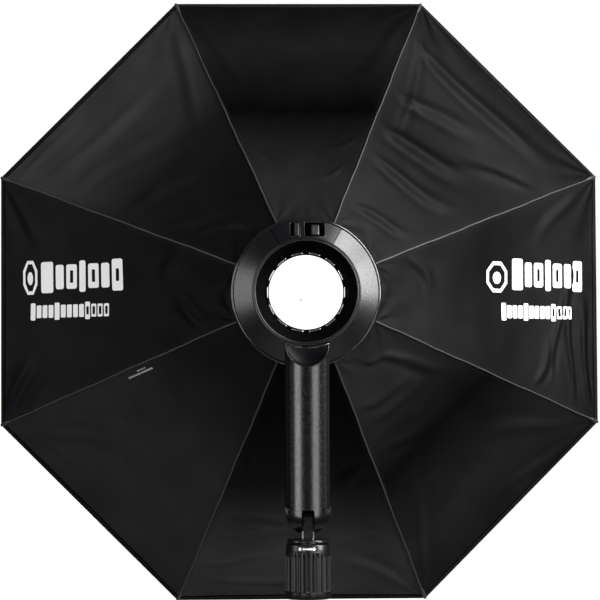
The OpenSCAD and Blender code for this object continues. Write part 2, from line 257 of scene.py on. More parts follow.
inner_white = grained_plastic("white_plate", (0.80, 0.80, 0.80), 0.45, 0.8, 0.1)
plated_steel = brushed_metal("plated_segments", (0.6, 0.6, 0.62), 0.16, (1, 1, 1), 1.0)
stem_metal = brushed_metal("black_stem", (0.05, 0.05, 0.052), 0.2, (1, 1, 12), 0.4, 0.9)
rib_metal = brushed_metal("rib_rod", (0.30, 0.30, 0.31), 0.34, (6, 6, 6))
spine_metal = brushed_metal("cast_core", (0.62, 0.62, 0.64), 0.36, (1, 1, 8))
brass = brushed_metal("washer_brass", (0.70, 0.52, 0.24), 0.3, (1, 4, 4))


# ---------------------------------------------------------------- mesh helpers

SHARP = 35


def add_piece(name, verts, faces, mats, face_mats=None, smooth=True, sharp=SHARP, fix=True):
    """A mesh object from points in millimetres; sharp is the angle above which an edge stays hard."""
    mesh = bpy.data.meshes.new(name)
    mesh.from_pydata([tuple(c * MM for c in v) for v in verts], [], faces)
    obj = bpy.data.objects.new(name, mesh)
    bpy.context.scene.collection.objects.link(obj)
    for mat in mats if isinstance(mats, list) else [mats]:
        mesh.materials.append(mat)
    if face_mats:
        mesh.polygons.foreach_set("material_index", face_mats)
    if fix:
        bm = bmesh.new()
        bm.from_mesh(mesh)
        bmesh.ops.recalc_face_normals(bm, faces=bm.faces)
        bm.to_mesh(mesh)
        bm.free()
    if smooth:
        smooth_mesh(mesh, sharp)
    else:
        mesh.polygons.foreach_set("use_smooth", [False] * len(mesh.polygons))
    mesh.update()
    return obj


def smooth_mesh(mesh, sharp=SHARP):
    """Smooth shading but for edges above the angle sharp."""
    mesh.polygons.foreach_set("use_smooth", [True] * len(mesh.polygons))
    mesh.set_sharp_from_angle(angle=radians(sharp))


def grid_faces(rows, columns, start=0, closed_rows=False, closed_columns=True):
    """Quads between rows of points, where each row has its points one after the other."""
    faces = []
    for i in range(rows if closed_rows else rows - 1):
        here, there = start + i * columns, start + (i + 1) % rows * columns
        for j in range(columns if closed_columns else columns - 1):
            n = (j + 1) % columns
            faces.append((here + j, here + n, there + n, there + j))
    return faces


def end_faces(rows, columns, start=0):
    """Lids over the first and the last row."""
    return [tuple(start + i * columns + j for j in range(columns)) for i in (0, rows - 1)]


def shell_piece(name, rows, mats, face_mats=None, closed=False, sharp=SHARP):
    """A piece from rows of points that each go round it: closed on itself, or with end lids."""
    size = (len(rows), len(rows[0]))
    faces = grid_faces(*size, closed_rows=closed) + ([] if closed else end_faces(*size))
    return add_piece(name, [point for row in rows for point in row], faces, mats, face_mats, sharp=sharp)


def sheet_faces(rows, columns, flipped=False):
    """A cloth of two layers, each a grid of points, closed round its edges."""
    size = rows * columns
    faces = grid_faces(rows, columns, closed_columns=False)
    faces += [tuple(v + size for v in quad[::-1]) for quad in faces]
    edge = list(range(columns)) + [i * columns - 1 for i in range(2, rows + 1)]
    edge += [(rows - 1) * columns + j for j in range(columns - 2, -1, -1)]
    edge += [i * columns for i in range(rows - 2, 0, -1)]
    faces += [(b, a, a + size, b + size) for a, b in zip(edge, edge[1:] + edge[:1])]
    return [face[::-1] for face in faces] if flipped else faces


def steps_between(first, last, steps):
    """Evenly spaced values from first to last, both included."""
    return [first + (last - first) * i / steps for i in range(steps + 1)]


def arc_steps(first, last, steps):
    """The same for angles: degrees in, radians out."""
    return [radians(a) for a in steps_between(first, last, steps)]


def circle_steps(count):
    """Angles of count points round a circle."""
    return [2 * pi * i / count for i in range(count)]


def mark_cloth(obj, places=None):
    """Stores where the weave's threads run: given places, or the rest position."""
    mesh = obj.data
    if places is None:
        places = [v.co / MM for v in mesh.vertices]
    attribute = mesh.attributes.new("cloth_place", "FLOAT_VECTOR", "POINT")
    attribute.data.foreach_set("vector", (np.asarray(places) * MM).astype(np.float32).ravel())
    return obj


def fillet(points, radius, steps=5):
    """A closed outline with its corners rounded; radius may be one value or one for each corner."""
    radii = radius if isinstance(radius, list) else [radius] * len(points)
    out = []
    for i, r in enumerate(radii):
        p = Vector(points[i])
        a = Vector(points[i - 1]) - p
        b = Vector(points[(i + 1) % len(points)]) - p
        cut = min(r / tan(a.angle(b) / 2), 0.48 * a.length, 0.48 * b.length)
        start = p + a.normalized() * cut
        end = p + b.normalized() * cut
        for t in steps_between(0, 1, steps):
            out.append(tuple(start * (1 - t) ** 2 + p * 2 * t * (1 - t) + end * t * t))
    return out


def polar(r, a, y):
    """Point at radius r and angle a (degrees, anticlockwise from behind) about the light's axis."""
    return (r * cos(radians(a)), y, r * sin(radians(a)))


def lathe(name, profile, mat, a0=0.0, a1=360.0, steps=224, sharp=SHARP):
    """Turns a closed outline of (r, y) points about the light's axis, all round or over a sector."""
    full = a1 - a0 >= 360
    angles = steps_between(a0, a1, steps)[:steps if full else None]
    rows = [[polar(r, a, y) for r, y in profile] for a in angles]
    return shell_piece(name, rows, mat, closed=full, sharp=sharp)


def spin_z(name, profile, mat, steps, sharp=SHARP, radius_at=None):
    """Turns an open outline of (r, z) points about the stand adapter's line; radius_at shapes it."""
    rows = []
    for r, z in profile:
        radii = [(a, radius_at(r, z, a) if radius_at else r) for a in circle_steps(steps)]
        rows.append([(rr * cos(a), HANDLE_Y + rr * sin(a), z) for a, rr in radii])
    return shell_piece(name, rows, mat, sharp=sharp)


def tube(name, path, radius, mat, sides=10, flat=1.0, up=(0, 1, 0)):
    """A closed tube along a path; radius is a length or goes with 0..1, flat squeezes it along up."""
    points = [Vector(p) for p in path]
    last = len(points) - 1
    rows = []
    for i, p in enumerate(points):
        along = (points[min(i + 1, last)] - points[max(i - 1, 0)]).normalized()
        side = along.cross(Vector(up)).normalized()
        top = side.cross(along).normalized()
        r = radius(i / last) if callable(radius) else radius
        rows.append([p + side * (r * cos(a)) + top * (r * flat * sin(a)) for a in circle_steps(sides)])
    return shell_piece(name, rows, mat, sharp=60)


def cut_away(obj, cutter):
    """Subtracts cutter from obj and removes it."""
    modifier = obj.modifiers.new("cut", "BOOLEAN")
    modifier.operation = "DIFFERENCE"
    modifier.solver = "EXACT"
    modifier.object = cutter
    with bpy.context.temp_override(object=obj, active_object=obj):
        bpy.ops.object.modifier_apply(modifier="cut")
    bpy.data.meshes.remove(cutter.data)
    smooth_mesh(obj.data)
    obj.data.update()


def box_outline(x0, x1, z0, z1, r, steps=5):
    return fillet([(x0, z0), (x1, z0), (x1, z1), (x0, z1)], r, steps)


def prism(name, outline, y0, y1, mat):
    """Outline of (x, z) points carried straight along Y."""
    return shell_piece(name, [[(x, y, z) for x, z in outline] for y in (y0, y1)], mat)


def finish_piece(obj, body, slot, *replaced):
    """Rides on a body and stands for CAD nodes; slot is not used."""
    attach(obj, body)
    if replaced:
        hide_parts(*replaced)


# ---------------------------------------------------------------- cloth: gores

# The rim's plane, a little ahead of the diffuser's, and half of the cloth's thickness
RIM_AHEAD = 1
RIM_Y = sum(corner.y for corner in node_box("diffuser_1")) / 2 + RIM_AHEAD
CLOTH_HALF = 0.3
# How far the cloth goes under the hub's clamp ring, and the points of a half gore along and across
HUB_TUCK = 6.5
ALONG = 112
ACROSS = 44
# Widths in mm of the black lining along the fold and at the hub
FOLD_TAPE = 18
HUB_LINING = 45
# What the stretched cloth sinks in between the ribs, and the height of a fold of height 1
CLOTH_SAG = 3.2
FOLD_GAIN = 2.1
# Tape round the rim: its width at a gore's corners, and what it gains at the middle
RIM_BAND = 4.6
RIM_BAND_GAIN = 1.4
# Pitches of the stitches on the tape and along the seams
STITCH_PITCH = 4.2
SEAM_STITCH_PITCH = 4.6


def rib_line(k):
    """Start, direction and rim corner of the cloth's corner line over rib k."""
    joint = joints[f"cloth_{k}_ccw_pleat"]
    start = Vector(joint["pos_m"]) / MM
    along = Vector(joint["axis"]).normalized()
    return start, along, start + along * ((RIM_Y - start.y) / along.y)


# Folds of each gore: across and along at both ends (across -1 at the clockwise rib
# and 1 at the other, along 0 at the hub and 1 at the rim), height and width in mm, and bend in mm.
FOLDS = {
    1: [(0.95, 0.86, -0.9, 0.9, 1.3, 9, 10), (0.9, 0.62, -0.2, 0.80, 1.1, 9, 8),
        (0.9, 0.45, -0.5, 0.62, 1.2, 10, 9), (0.85, 0.33, -0.8, 0.44, 0.9, 8, 6),
        (0.9, 0.95, 0.45, 0.35, 1.0, 8, -6), (-0.9, 0.75, -0.1, 0.58, 0.8, 7, -4),
        (0.7, 0.12, -0.8, 0.22, 0.8, 6, 3)],
    2: [(0.75, 0.32, -0.5, 0.27, 0.7, 7, 4), (-0.8, 0.24, 0.2, 0.18, 0.8, 5, -3),
        (-0.9, 0.36, -0.2, 0.30, 0.6, 5, 2), (0.9, 0.95, 0.55, 0.55, 0.7, 9, 4),
        (-0.92, 0.93, -0.6, 0.6, 0.6, 9, -4)],
    3: [(0.9, 0.76, -0.85, 0.60, 2.0, 11, 10), (0.9, 0.86, -0.8, 0.80, 1.5, 10, 12),
        (0.8, 0.66, -0.75, 0.48, 1.3, 9, -6), (0.8, 0.50, -0.85, 0.38, 1.3, 9, 6),
        (0.75, 0.34, -0.85, 0.12, 1.4, 8, 5), (0.6, 0.22, -0.6, 0.04, 1.2, 6, -3),
        (-0.95, 0.95, -0.55, 0.45, 1.2, 8, 5), (0.95, 0.95, 0.2, 0.93, 0.9, 6, 3)],
    4: [(-0.95, 0.97, -0.5, 0.80, 1.0, 7, 3), (0.95, 0.97, 0.45, 0.86, 1.1, 7, -3),
        (0.95, 0.90, 0.6, 0.62, 0.8, 7, 2), (0.9, 0.12, 0.1, 0.28, 0.7, 7, 3),
        (-0.9, 0.2, -0.2, 0.34, 0.5, 9, 3)],
    5: [(-0.9, 0.45, 0.25, 0.60, 1.4, 9, 8), (-0.9, 0.30, 0.45, 0.42, 1.2, 8, 6),
        (-0.92, 0.93, -0.1, 0.62, 1.5, 9, 5), (-0.95, 0.97, 0.1, 0.84, 1.1, 7, -4),
        (-0.85, 0.80, 0.0, 0.50, 1.0, 8, 4), (0.92, 0.95, 0.72, 0.40, 1.3, 8, 4),
        (0.95, 0.98, 0.3, 0.86, 0.9, 6, 4), (-0.6, 0.10, 0.7, 0.20, 1.0, 6, -4)],
    6: [(-0.9, 0.62, 0.0, 0.66, 0.9, 6, 3), (-0.85, 0.72, 0.1, 0.71, 0.8, 5, -2),
        (-0.9, 0.92, 0.35, 0.90, 1.0, 5, 3), (0.9, 0.70, 0.2, 0.76, 0.8, 6, -3),
        (0.92, 0.94, 0.3, 0.82, 0.9, 6, 3), (-0.95, 0.84, -0.2, 0.80, 0.7, 5, 2),
        (0.9, 0.40, 0.45, 0.55, 0.9, 8, 3), (-0.9, 0.35, -0.5, 0.5, 0.7, 7, 3)],
    7: [(-0.9, 0.20, 0.55, 0.27, 1.5, 7, 6), (-0.9, 0.30, 0.75, 0.34, 1.7, 8, -8),
        (-0.85, 0.40, 0.3, 0.46, 1.2, 8, 6), (0.3, 0.12, 0.9, 0.38, 1.3, 7, 5),
        (0.9, 0.92, 0.2, 0.64, 1.1, 9, 5), (-0.92, 0.94, -0.5, 0.55, 0.9, 8, -4),
        (0.95, 0.97, -0.1, 0.9, 0.9, 6, -3), (-0.2, 0.08, 0.6, 0.16, 1.1, 5, 3)],
    8: [(-0.95, 0.88, 0.25, 0.84, 1.2, 5, 4), (-0.9, 0.95, 0.1, 0.92, 1.2, 5, 3),
        (-0.8, 0.78, 0.35, 0.90, 0.9, 5, -4), (0.95, 0.92, 0.5, 0.70, 0.8, 7, 3),
        (-0.95, 0.70, -0.3, 0.80, 0.9, 6, 3), (0.9, 0.15, 0.0, 0.26, 0.7, 7, -3)],
}


# Painted light and shade: how light each gore's colour is at these shares of its length, given one
# gore at a time to stand for how the light falls on it
GORE_PAINTED_LIGHT_AT = (0.18, 0.5, 0.8, 0.97)
GORE_PAINTED_LIGHT = {
    1: (0.005, 0.0008, 0.005, 0.0), 2: (0.008, 0.0003, 0.0045, 0.002),
    3: (0.004, 0.007, 0.025, 0.024), 4: (0.0016, 0.0042, 0.0072, 0.0055),
    5: (0.006, 0.016, 0.018, 0.016), 6: (0.0005, 0.0035, 0.028, 0.022),
    7: (0.010, 0.0014, 0.0072, 0.0046), 8: (0.0045, 0.0003, 0.0045, 0.0018),
}


def soft_step(t):
    """Rises smoothly from 0 to 1 as t does."""
    t = np.clip(t, 0, 1)
    return t * t * (3 - 2 * t)


class Gore:
    """The black cloth between rib k and the next rib, as a height over its own plane. A place on it
    is x across from its middle line and d down from the hub; side is -1 at rib k, 1 at the next."""

    def __init__(self, k):
        self.k = k
        self.next = k % RIBS + 1
        start_a, _, rim_a = rib_line(k)
        start_b, _, rim_b = rib_line(self.next)
        self.origin = (start_a + start_b) / 2
        self.rim_middle = (rim_a + rim_b) / 2
        self.down = (self.rim_middle - self.origin).normalized()
        self.length = (self.rim_middle - self.origin).length
        self.across = (start_b - start_a).normalized()
        normal = self.across.cross(self.down)
        self.normal = normal if normal.y < 0 else -normal
        self.in_half = (start_b - start_a).length / 2
        self.out_half = (rim_b - rim_a).length / 2
        self.radial = Vector((self.rim_middle.x, 0, self.rim_middle.z)).normalized()
        self.rim_radius = hypot(self.rim_middle.x, self.rim_middle.z)
        generator = np.random.default_rng(100 + k)
        self.waves = [(generator.uniform(0, 2 * pi), generator.uniform(35, 130),
                       generator.uniform(0, 2 * pi), generator.uniform(0.4, 1.0)) for _ in range(16)]
        self.pucker = generator.uniform(0, 2 * pi, 6)

    def half_width(self, d):
        return self.in_half + (self.out_half - self.in_half) * d / self.length

    def fold_height(self, fold, x, d):
        """One of the FOLDS: a bent ridge that swells and fades, with a hollow beside it."""
        t1, s1, t2, s2, tall, wide, bend = fold
        d1, d2 = s1 * self.length, s2 * self.length
        x1, x2 = t1 * self.half_width(d1), t2 * self.half_width(d2)
        run = hypot(x2 - x1, d2 - d1)
        p = ((x - x1) * (x2 - x1) + (d - d1) * (d2 - d1)) / run ** 2
        q = ((d - d1) * (x2 - x1) - (x - x1) * (d2 - d1)) / run - bend * 4 * p * (1 - p)
        q = (q + 2.5 * np.sin(p * 7 + d1)) / (wide * (0.75 + 0.5 * np.clip(p, 0, 1)))
        fade = soft_step(p / 0.3 + 0.2) * soft_step((1 - p) / 0.45)
        return FOLD_GAIN * tall * fade * (np.exp(-q * q) - 0.5 * np.exp(-(q - 1.6) ** 2))

    def fan_height(self, x, d, side, corner, tall, count, phase, clear, reach):
        """Puckers that fan out from a corner of the gore, given by its half width and d."""
        half, corner_d = corner
        rho = np.hypot(x - side * half, d - corner_d)
        phi = np.arctan2(np.abs(corner_d - d), (side * half - x) * side)
        return tall * np.sin(phi * count + phase) * soft_step(rho / clear) * np.exp(-rho / reach)

    def height(self, x, d):
        """Height over the plane, in mm, for places given in mm (arrays)."""
        s = np.clip(d / self.length, 0, 1)
        t = np.clip(x / self.half_width(d), -1, 1)
        hold = (1 - np.abs(t) ** 5) * soft_step(s / 0.04) * soft_step((1 - s) / 0.025)
        h = -CLOTH_SAG * (1 - t * t) * np.sin(pi * s) ** 0.8
        for heading, length, phase, weight in self.waves:
            run = (x * cos(heading) + d * sin(heading)) * 2 * pi / length
            h = h + 0.0015 * length * weight * np.sin(run + phase)
        for fold in FOLDS[self.k]:
            h = h + self.fold_height(fold, x, d)
        for side, phase in ((-1, self.pucker[0]), (1, self.pucker[1])):
            h = h + self.fan_height(x, d, side, (self.out_half, self.length), 1.4, 13, phase, 12, 42)
            h = h + self.fan_height(x, d, side, (self.in_half, 0), 0.9, 9, phase * 2, 8, 34)
        h = h + 0.35 * np.sin(x / 2.3 + self.pucker[2]) * np.exp(-np.maximum(d, 0) / 16)
        h = h + 0.22 * np.sin(x / 2.9 + 1.5 * np.sin(x / 23)) * np.exp(-(self.length - d) / 9)
        return h * hold

    def points(self, x, d, lift=0.0):
        """Places on the cloth (arrays), lifted off its middle layer."""
        h = self.height(x, d) + lift
        o, u, e, n = (np.array(v) for v in (self.origin, self.down, self.across, self.normal))
        return o + d[..., None] * u + x[..., None] * e + h[..., None] * n

    def point(self, x, d, lift):
        return Vector(self.points(np.array(float(x)), np.array(float(d)), lift))

    def normals(self, x, d):
        """The smooth cloth's normals, on its black side."""
        step = 0.5
        a = self.points(x + step, d) - self.points(x - step, d)
        b = self.points(x, d + step) - self.points(x, d - step)
        n = np.cross(a, b)
        n /= np.linalg.norm(n, axis=-1, keepdims=True)
        return n * np.sign(n @ np.array(self.normal))[..., None]

    def half(self, side):
        """The rib, cloth body and node of the half on that side."""
        rib = self.k if side < 0 else self.next
        return rib, f"cloth_{rib}_" + ("ccw" if side < 0 else "cw")

    def half_name(self, start, side):
        return f"{start}_{self.k}_{'a' if side < 0 else 'b'}"

    def finish_half(self, obj, side, slot):
        """Bakes the piece's placement into its mesh and returns it."""
        rib, body = self.half(side)
        along = rib_line(rib)[1]
        inward = self.across * -side
        inward = (inward - along * inward.dot(along)).normalized()
        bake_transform(obj)
        return obj


gores = {k: Gore(k) for k in range(1, RIBS + 1)}


def make_half_gore(gore, side):
    """One half of a gore: black outside, closed round its edges, and silver inside except along
    the fold at the gore's middle and next to the hub, where the lining is black."""
    s = np.linspace(-HUB_TUCK / gore.length, 1, ALONG)
    d = np.repeat((s * gore.length)[:, None], ACROSS, 1)
    x = side * np.linspace(0, 1, ACROSS) ** 0.92 * gore.half_width(d)
    layers = [gore.points(x, d, lift).reshape(-1, 3) for lift in (CLOTH_HALF, -CLOTH_HALF)]
    faces = sheet_faces(ALONG, ACROSS, flipped=side < 0)
    dark = (np.abs(x[:-1, 1:]) < FOLD_TAPE) | (d[:-1, :-1] < HUB_LINING)
    mats = [0] * dark.size + [int(not black) for black in dark.flat]
    mats += [0] * (len(faces) - len(mats))
    obj = add_piece(gore.half_name("gore", side), np.concatenate(layers), faces,
                    [black_cloth, silver_cloth], mats, fix=False)
    mesh = obj.data
    normal = gore.normals(x, d).reshape(-1, 3)
    if normal[0] @ np.array(mesh.polygons[0].normal) < 0:
        mesh.flip_normals()
    # The layers take the smooth cloth's own normals, and the edge those of its faces
    normal = np.concatenate([normal, -normal])
    corner_normals = [normal[v] if polygon.index < 2 * dark.size else polygon.normal
                      for polygon in mesh.polygons for v in polygon.vertices]
    mesh.normals_split_custom_set(corner_normals)
    flat = np.stack([x, d, np.zeros_like(x)], -1).reshape(-1, 3)
    mark_cloth(obj, np.concatenate([flat, flat]))
    # Painted light and shade: each gore's colour goes lighter or darker along its length as the light on it
    # does
    painted_light = np.tile(np.repeat(np.interp(s, GORE_PAINTED_LIGHT_AT, GORE_PAINTED_LIGHT[gore.k]), ACROSS), 2)
    painted_light_tone = mesh.attributes.new("painted_light_tone", "FLOAT_COLOR", "POINT")
    colors = np.stack([painted_light, painted_light, painted_light * 1.06, np.ones_like(painted_light)], -1)
    painted_light_tone.data.foreach_set("color", colors.astype(np.float32).ravel())
    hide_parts(gore.half(side)[1])
    return gore.finish_half(obj, side, "black_cloth")


def rim_band(t):
    """Width of the rim's tape at t, which is 0 at the gore's middle and 1 or -1 at its corners."""
    return RIM_BAND + RIM_BAND_GAIN * (1 - t * t)


def rim_binding(gore, side):
    """Folded tape round the rim's edge: a band outside and a lip in front, with a paler copy of the tape on
    the fold as painted light and a darker copy elsewhere as painted shade.
    """
    steps = 40
    rows = []
    for i, t in enumerate(steps_between(0, side, steps)):
        band = rim_band(t)
        wobble = 0.12 * sin(i * 1.9 + gore.k)
        outside = [(band + 1.3, 0.1), (band + 1.2, 0.42), (band, 0.45), (band - 0.3, 0.95),
                   (band * 0.5, 1.15), (1.8, 1.05), (-0.2, 0.75), (-0.8, 0.0)]
        front = [(0.4, 0.9), (3.0, 1.1), (9.4 + wobble, 1.0), (10.0 + wobble, 0.5),
                 (9.4 + wobble, 0.1), (3.0, 0.1)]
        inside = [(1.5, -0.7), (band, -0.7)]

        def on_cloth(back, lift):
            d = gore.length - back
            return gore.point(t * gore.half_width(d), d, lift + wobble * 0.4)

        def before_rim(back, ahead):
            middle = gore.rim_middle - gore.radial * back + Vector((0, ahead, 0))
            return middle + gore.across * (t * gore.out_half * (1 - back / gore.rim_radius))

        rows.append([on_cloth(*place) for place in outside] + [before_rim(*place) for place in front]
                    + [on_cloth(*place) for place in inside])
    # Painted light on the tape's fold faces, painted shade on the rest of it
    lit_faces = (3, 4)
    mats = [int(j in lit_faces) for row in rows[1:] for j in range(len(row))] + [0, 0]
    obj = shell_piece(gore.half_name("rim_binding", side), rows, [binding_shaded_cloth, tape_lit_cloth], mats, sharp=50)
    return gore.finish_half(mark_cloth(obj), side, "black_cloth")


def stitch_piece(name, places):
    """Many small raised stitches as one mesh: (middle, along, across, up, length)."""
    verts, faces = [], []
    for middle, along, across, up, length in places:
        base = len(verts)
        for a, w, h in ((-0.5, 0.18, 0), (-0.3, 0.26, 0.28), (0.3, 0.26, 0.28), (0.5, 0.18, 0)):
            verts += [middle + along * (a * length) + across * (s * w) + up * h for s in (-1, 1)]
        faces += grid_faces(4, 2, base, closed_columns=False)
        faces += [tuple(base + v for v in face) for face in ((0, 2, 4, 6), (7, 5, 3, 1), (6, 7, 1, 0))]
    return mark_cloth(add_piece(name, verts, faces, thread, smooth=False))


def binding_stitches(gore, side):
    """A row of stitches on the rim's tape."""
    places = []
    count = int(gore.out_half / STITCH_PITCH)
    for t in steps_between(0, side, count)[1:-1]:
        d = gore.length - rim_band(t) + 1.5
        place = gore.point(t * gore.half_width(d), d, 1.05)
        places.append((place, gore.across, gore.down, gore.normal, 2.7))
    return gore.finish_half(stitch_piece(gore.half_name("rim_stitches", side), places), side, "black_cloth")


# ---------------------------------------------------------------- cloth: seams and corners

def seam_piping(k):
    """Rolled seam that stands a little proud of the cloth, with a row of stitches on each side."""
    start, along, corner = rib_line(k)
    before, after = gores[(k - 2) % RIBS + 1], gores[k]
    out = (before.normal + after.normal).normalized()
    out = (out - along * out.dot(along)).normalized()
    side = along.cross(out).normalized()
    length = (corner - start).length
    tuck, stitch_inset = 3.5, 3.6
    path = []
    for f in steps_between(0, 1, 90):
        sway = 0.35 * sin(f * 21 + k) + 0.15 * sin(f * 67 + 2 * k)
        path.append(start + along * (-tuck + (length + tuck) * f) + out * 0.9 + side * sway)
    obj = tube(f"seam_piping_{k}", path, lambda f: 1.1 - 0.15 * f, seam_cloth, 12, 0.9, out)
    finish_piece(mark_cloth(obj), f"rib_{k}", "black_cloth")
    places = []
    for gore, lateral in ((before, 1), (after, -1)):
        for i in range(3, int(length / SEAM_STITCH_PITCH) - 1):
            d = i * SEAM_STITCH_PITCH * (gore.length / length)
            place = gore.point(lateral * (gore.half_width(d) - stitch_inset), d, 0.32)
            places.append((place, along, gore.across, gore.normal, 2.8))
    finish_piece(stitch_piece(f"seam_stitches_{k}", places), f"rib_{k}", "black_cloth")
    corner_tip(k, corner, along, out)


def corner_tip(k, corner, along, out):
    """Rounded end of the seam over the rib's tip."""
    def thickness(f):
        return (1.2 + 1.1 * min(1, f / 0.4)) * sqrt(max(0.02, 1 - max(0, (f - 0.78) / 0.22) ** 2))

    path = [corner + along * (-16 + 18.5 * f) + out * (0.7 - 1.6 * f ** 2) for f in steps_between(0, 1, 16)]
    tip = tube(f"corner_tip_{k}", path, thickness, seam_cloth, 14, 0.8, out)
    finish_piece(mark_cloth(tip), f"rib_{k}", "black_cloth")


# ---------------------------------------------------------------- cloth: printed marks and label

def print_patch(name, gore, side, shapes, mat=print_white):
    """Flat printed shapes on one half of a gore, following its surface. A shape is an outline of
    (across, along) points with an optional hole of as many points."""
    lift = CLOTH_HALF + 0.22
    rings = 5
    verts, faces = [], []
    for outline, hole in shapes:
        base, count = len(verts), len(outline)
        middle = [sum(p[axis] for p in outline) / count for axis in (0, 1)]
        for f in steps_between(0, 1, rings):
            for j, (x, d) in enumerate(outline):
                end_x, end_d = hole[j] if hole else middle
                g = f if hole else f * 0.97
                verts.append(gore.point(x + (end_x - x) * g, d + (end_d - d) * g, lift))
        faces += grid_faces(rings + 1, count, base)
        if not hole:
            faces.append(end_faces(rings + 1, count, base)[-1])
    obj = add_piece(name, verts, faces, mat, fix=False)
    mesh = obj.data
    if sum(polygon.normal.dot(gore.normal) < 0 for polygon in mesh.polygons) > len(mesh.polygons) / 2:
        mesh.flip_normals()
    gore.finish_half(mark_cloth(obj), side, "white_cloth")


def block(cx, cd, tall, wide, r, heading=0.0):
    """Rounded block about (across, along): tall across and wide along, turned by heading."""
    outline = box_outline(-tall / 2, tall / 2, -wide / 2, wide / 2, r, 4)
    c, s = cos(radians(heading)), sin(radians(heading))
    return [(cx + a * c - b * s, cd + a * s + b * c) for a, b in outline]


def oval(cx, cd, tall, wide, sides, turn=0.0):
    """Outline of a polygon with many or few sides, its first corner turned from the row's height."""
    return [(cx + tall / 2 * cos(a + turn), cd + wide / 2 * sin(a + turn)) for a in circle_steps(sides)]


def span(low, high):
    """Middle and size of a span."""
    return (low + high) / 2, high - low


def block_row(side, row, widths, gap, low_share, full, corner, holed, hole):
    """Blocks along a row, whose widths and gap are shares of one unit. Blocks are low_share of the
    row's height, but those in full as tall as it; hole is what those in holed have: shares, corner."""
    (cx, tall), (first, last) = span(*row[0]), row[1]
    unit = (last - first) / (sum(widths) + gap * (len(widths) - 1))
    shapes = []
    for i, w in enumerate(widths):
        size = abs(unit) * w
        place = (side * cx, first + unit * (sum(widths[:i]) + gap * i + w / 2))
        outline = block(*place, tall * (1 if i in full else low_share), size, corner)
        inner = block(*place, tall * hole[0], size * hole[1], hole[2]) if i in holed else None
        shapes.append((outline, inner))
    return shapes


def gore_marks(k, up, badge, row, small_row):
    """A generic octagon badge, a row of plain blocks beside it and a row of small ones below.
    up is the side of the gore that is uppermost; spans run along the gore in reading order."""
    gore = gores[k]
    (cx, tall), (cd, wide) = span(*badge[0]), span(*badge[1])
    wide = abs(wide)
    ring = [oval(up * cx, cd, tall - inset, wide - inset_d, 8, pi / 8) for inset, inset_d in ((0, 0), (9, 8))]
    shapes = [ring, (oval(up * (cx - 1), cd, tall * 0.36, wide * 0.36, 20), None)]
    widths = (1.15, 0.75, 1.0, 0.6, 1.0, 0.75, 1.0)
    shapes += block_row(up, row, widths, 0.24, 0.78, (0, 3, 6), 3.2, (2, 4, 6), (0.4, 0.3, 1.4))
    print_patch(f"side_mark_{k}_upper", gore, up, shapes)
    shapes = block_row(-up, small_row, [1] * 13, 0.25, 0.74, (0, 4, 9), 1.6, range(9, 13), (0.46, 0.5, 0.9))
    print_patch(f"side_mark_{k}_lower", gore, -up, shapes)


def seam_label():
    """Two short rows of tiny plain bars printed along a seam."""
    gore = gores[5]
    slope = (gore.out_half - gore.in_half) / gore.length
    run = Vector((-slope, 1)).normalized()
    inward = Vector((run.y, -run.x))
    heading = degrees(atan2(-run.x, run.y))
    shapes = []
    for offset, first, last, pitch, tall in ((6.2, 139, 150, 2.6, 1.5), (10.2, 131, 165, 3.3, 2.3)):
        for d in np.arange(first, last, pitch):
            place = Vector((-gore.half_width(d), d)) + inward * offset
            shapes.append((block(*place, tall, pitch * 0.72, 0.4, heading), None))
    print_patch("seam_label", gore, -1, shapes, label_print)


def make_cloth():
    """Gores with their tape and stitches, seams and printed marks."""
    for k, gore in gores.items():
        for side in (-1, 1):
            half = make_half_gore(gore, side)
            binding = rim_binding(gore, side)
            stitches = binding_stitches(gore, side)
            f"rib_{gore.half(side)[0]}"
        seam_piping(k)
    gore_marks(4, -1, ((5, 50), (328, 303)), ((8, 46), (298, 170)), ((4, 25), (315, 192)))
    gore_marks(8, 1, ((3, 43), (177, 213)), ((8, 46), (220, 338)), ((8, 29), (202, 320)))
    seam_label()


# ---------------------------------------------------------------- cloth: front diffuser

DIFFUSER_HALF = 0.35
DIFFUSER_SAG = 3.42


def make_diffuser():
    """White front cloth as eight kites that meet edge to edge, drawn in a little behind the rim."""
    place = joints["diffuser_1_fold"]["pos_m"]
    corner_r, plane_y = hypot(place[0], place[2]) / MM, place[1] / MM
    half_a = radians(STEP_A / 2)
    mid_r = corner_r * cos(half_a)
    steps = 30
    faces = sheet_faces(steps + 1, 2 * steps + 1)
    for k in range(1, RIBS + 1):
        a = STEP_A / 2 + STEP_A * (k - 1)
        middle, side = Vector(polar(1, a, 0)), Vector(polar(1, a + 90, 0))
        verts, places = [], []
        for layer in (DIFFUSER_HALF, -DIFFUSER_HALF):
            for u in steps_between(0, 1, steps):
                for turn in steps_between(-half_a, half_a, 2 * steps):
                    # from the centre out to the edge that passes the corner
                    r = u * mid_r / cos(half_a - abs(turn)) + 0.01
                    crown = -DIFFUSER_SAG * (1 - u ** 8) * (0.9 + 0.1 * cos(8 * turn))
                    ripple = sin(36 * turn + k) * float(soft_step(4 * u - 3)) * (1 - u)
                    p = middle * (r * cos(turn)) + side * (r * sin(turn))
                    verts.append((p.x, plane_y + crown + ripple + layer, p.z))
                    places.append((p.x, p.z, 0))
        obj = add_piece(f"diffuser_cloth_{k}", verts, faces, white_cloth, sharp=60)
        finish_piece(mark_cloth(obj, places), f"diffuser_{k}", "white_cloth", f"diffuser_{k}")
        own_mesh(obj)


# ---------------------------------------------------------------- hub

FACE_IN_R = 59.5
FACE_OUT_R = 82.6
FACE_REAR_Y = -8.0
FACE_EDGE_Y = 8.0
GRADE = (FACE_EDGE_Y - FACE_REAR_Y) / (FACE_OUT_R - FACE_IN_R)
